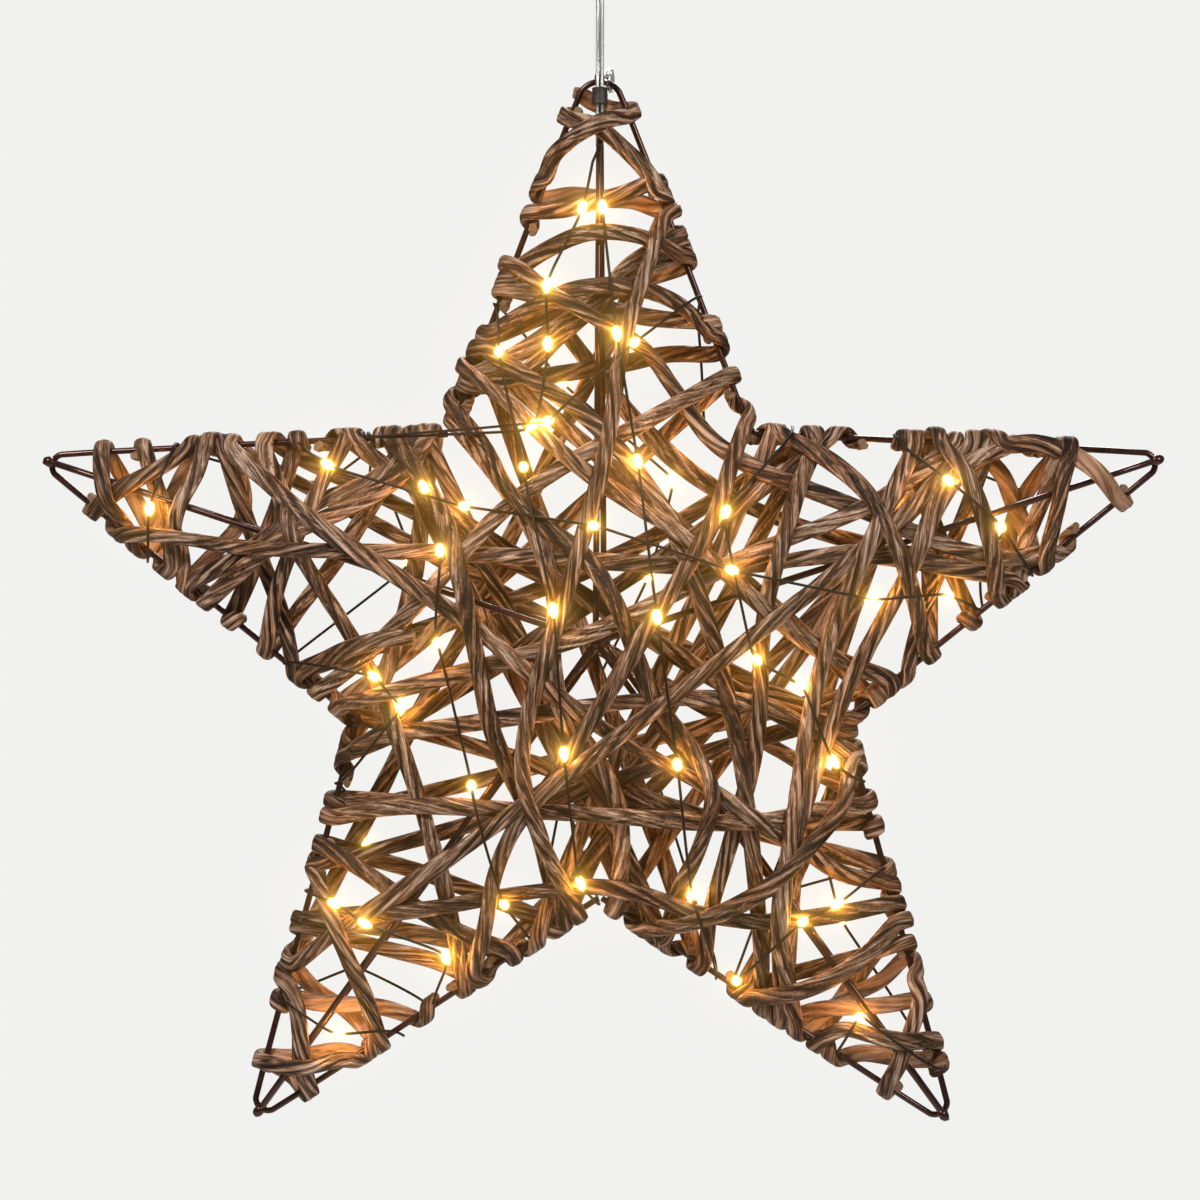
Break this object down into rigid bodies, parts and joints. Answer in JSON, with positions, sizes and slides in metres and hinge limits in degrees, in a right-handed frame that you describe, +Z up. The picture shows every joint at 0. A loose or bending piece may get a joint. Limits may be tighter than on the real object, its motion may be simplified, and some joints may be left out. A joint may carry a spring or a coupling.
{
  "type": "lighted star ornament",
  "caption": "Hanging star lantern: a dark wire star frame with raised centre, wound with flat wicker strands and a string of small warm lights, on a clear cable.",
  "frame": {"origin": "middle of the flat top of the ceiling fitting, from which the star hangs", "axes": "+Z up, out of the fitting's flat top; +X across the star's width, to the right seen from the front; +Y from the front of the star to its back"},
  "size_m": [0.5586, 0.1505, 0.5881],
  "materials": {
    "dark_wire": "glossy near-black red-brown lacquer",
    "wicker": "greyish brown split wicker with long grain",
    "light_string": "black coated wire with small clear bulbs that glow warm white",
    "clear_plastic": "clear flexible plastic",
    "black_plastic": "black shrink sleeve",
    "pale_plastic": "plain off-white"
  },
  "bodies": {
    "root": {"outline_top": "dark_wire", "outline_right": "dark_wire", "outline_lower_right": "dark_wire", "outline_lower_left": "dark_wire", "outline_left": "dark_wire", "ridges_front": "dark_wire", "ridges_back": "dark_wire", "strand_top_tip": "wicker", "strand_top_arm": "wicker", "strand_left_arm": "wicker", "strand_left_body": "wicker", "strand_back_layer": "wicker", "strand_body_one": "wicker", "strand_body_two": "wicker", "strand_body_three": "wicker", "strand_body_four": "wicker", "strand_body_five": "wicker", "strand_right_body": "wicker", "strand_right_arm": "wicker", "strand_lower_left": "wicker", "strand_lower_right": "wicker", "strand_inner_01": "wicker", "strand_inner_02": "wicker", "strand_inner_03": "wicker", "strand_inner_04": "wicker", "strand_inner_05": "wicker", "strand_inner_06": "wicker", "strand_inner_07": "wicker", "strand_inner_08": "wicker", "strand_inner_09": "wicker", "strand_inner_10": "wicker", "strand_inner_11": "wicker", "strand_inner_12": "wicker", "strand_inner_13": "wicker", "strand_inner_14": "wicker", "strand_inner_15": "wicker", "strand_inner_16": "wicker", "strand_inner_17": "wicker", "strand_inner_18": "wicker", "strand_inner_19": "wicker", "strand_inner_20": "wicker", "strand_inner_21": "wicker", "strand_inner_22": "wicker", "strand_inner_23": "wicker", "strand_inner_24": "wicker", "strand_inner_25": "wicker", "light_string_middle": "light_string", "light_string_left": "light_string", "light_string_right": "light_string", "clear_cable": "clear_plastic", "cable_loop": "clear_plastic", "cable_sleeve": "black_plastic", "ceiling_fitting": "pale_plastic"}
  },
  "joints": []
}
